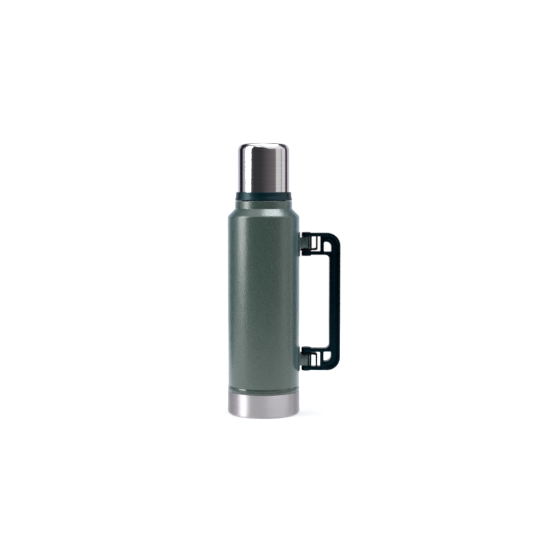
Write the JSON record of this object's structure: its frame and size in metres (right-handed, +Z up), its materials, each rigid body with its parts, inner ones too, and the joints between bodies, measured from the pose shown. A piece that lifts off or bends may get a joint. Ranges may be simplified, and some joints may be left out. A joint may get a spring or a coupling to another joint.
{
  "type": "vacuum flask",
  "caption": "Double-walled steel vacuum flask with a 45 degree shoulder, a screw-on cup, a threaded pour-through stopper and a folding side handle on two hinges.",
  "frame": {"origin": "on the flask's axis, at the underside of its base", "axes": "+Z up along the flask's axis; +X from the axis towards the handle in its open position"},
  "size_m": [0.1545, 0.099, 0.37],
  "materials": {
    "hammertone_paint": "green hammertone enamel, semi-gloss, pebbled",
    "bracket_paint": "green hammertone enamel on folded strap",
    "brushed_steel": "stainless steel, brushed round the axis",
    "plain_steel": "stainless steel, fine satin",
    "solder": "dull sealing solder",
    "getter": "sintered metal, matt",
    "foil": "thin bright foil",
    "handle_plastic": "dark green-black moulded polypropylene",
    "collar_plastic": "dark green moulded polypropylene",
    "stopper_plastic": "dark green moulded polypropylene",
    "black_plastic": "black moulded acetal",
    "silicone": "grey food-grade silicone",
    "foam": "white insulating foam"
  },
  "bodies": {
    "bottle": {"outer_shell": "hammertone_paint", "base_cup": "brushed_steel", "inner_liner": "plain_steel", "neck_thread_ring": "plain_steel", "closing_pan": "plain_steel", "evacuation_seal": "solder", "getter_pellet": "getter", "radiation_foil": "foil", "upper_bracket": "bracket_paint", "lower_bracket": "bracket_paint", "upper_detent_cam": "black_plastic", "lower_detent_cam": "black_plastic"},
    "handle": {"handle_frame": "handle_plastic", "upper_detent_spring": "black_plastic", "lower_detent_spring": "black_plastic", "upper_hinge_pin": "plain_steel", "lower_hinge_pin": "plain_steel"},
    "stopper_rings": {"stopper_seal": "silicone", "rim_seal": "silicone"},
    "stopper": {"stopper_body": "stopper_plastic", "stopper_cap": "stopper_plastic", "stopper_core": "foam", "seal_holder": "stopper_plastic"},
    "cup_ring": {"cup_seal": "silicone"},
    "cup": {"cup_shell": "brushed_steel", "cup_liner": "plain_steel", "cup_collar": "collar_plastic", "cup_insulation": "foam"}
  },
  "joints": [
    {"name": "handle_fold", "type": "hinge", "parent": "bottle", "child": "handle", "pos_m": [0.0585, 0, 0.154], "axis": [0, 0, 1], "range_deg": [-100, 100]},
    {"name": "stopper_rise", "type": "slide", "parent": "bottle", "child": "stopper_rings", "axis": [0, 0, 1], "range_m": [0, 0.012]},
    {"name": "stopper_turn", "type": "hinge", "parent": "stopper_rings", "child": "stopper", "pos_m": [0, 0, 0.3], "axis": [0, 0, 1], "range_deg": [0, 1080]},
    {"name": "cup_lift", "type": "slide", "parent": "bottle", "child": "cup_ring", "axis": [0, 0, 1], "range_m": [0, 0.09]},
    {"name": "cup_turn", "type": "hinge", "parent": "cup_ring", "child": "cup", "pos_m": [0, 0, 0.33], "axis": [0, 0, 1], "range_deg": [0, 540]}
  ],
  "couplings": [
    {"joint": "stopper_rise", "follows": "stopper_turn", "m_per_rad": 0.00063662}
  ]
}
